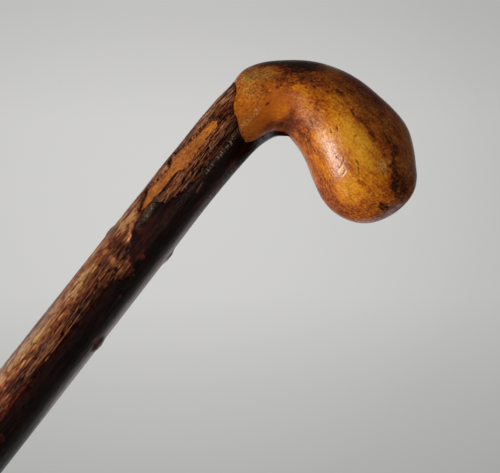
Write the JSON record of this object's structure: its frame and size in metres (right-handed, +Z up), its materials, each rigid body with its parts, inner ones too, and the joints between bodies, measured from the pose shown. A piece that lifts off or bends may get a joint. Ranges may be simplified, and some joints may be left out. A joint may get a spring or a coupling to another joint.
{
  "type": "knob handle walking stick",
  "caption": "Rigid wooden walking stick with a polished root-knob handle leaning to one side, bark left on the shaft, and a metal ferrule at the foot.",
  "frame": {"origin": "centre of the flat foot face of the ferrule tip, on the shaft's axis", "axes": "+Z up the shaft as the stick stands in use, +X from the shaft towards the knob, -Y the side that shows the window in the bark"},
  "size_m": [0.094, 0.046, 0.905],
  "materials": {
    "polished_wood": "polished",
    "bark": "varnished",
    "collar_brass": "worn",
    "tip_steel": "worn",
    "pin_brass": "worn"
  },
  "bodies": {
    "root": {"wood_stick": "polished_wood", "bark": "bark", "ferrule_collar": "collar_brass", "ferrule_tip": "tip_steel", "ferrule_pin_front": "pin_brass", "ferrule_pin_rear": "pin_brass"}
  },
  "joints": []
}
